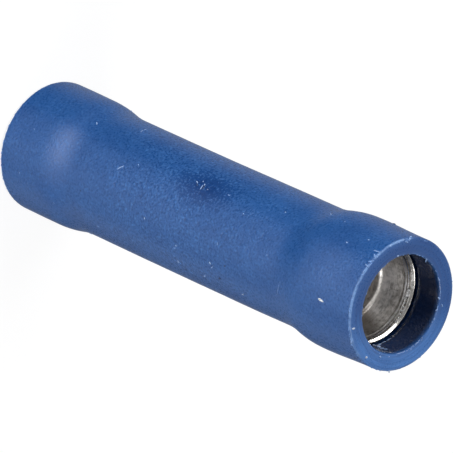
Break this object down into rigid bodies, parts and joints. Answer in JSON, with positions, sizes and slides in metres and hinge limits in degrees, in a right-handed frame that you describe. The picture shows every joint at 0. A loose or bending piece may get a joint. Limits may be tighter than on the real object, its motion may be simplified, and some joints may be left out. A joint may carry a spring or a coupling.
{
  "type": "butt splice connector",
  "caption": "Straight crimp connector: a belled metal barrel inside a blue insulating sleeve with swelled ends, for joining stripped wires end to end.",
  "frame": {"origin": "middle of the lower mouth, on the surface that the connector stands on", "axes": "+Z along the axis of the sleeve and the barrel, upwards; X and Y are equal, as both pieces are round"},
  "size_m": [0.0064, 0.0064, 0.025],
  "materials": {
    "sleeve_vinyl": "opaque blue vinyl, faintly mottled satin",
    "barrel_tin": "tin-plated copper, drawn, dull grey"
  },
  "bodies": {
    "root": {"insulating_sleeve": "sleeve_vinyl", "crimp_barrel": "barrel_tin"}
  },
  "joints": []
}
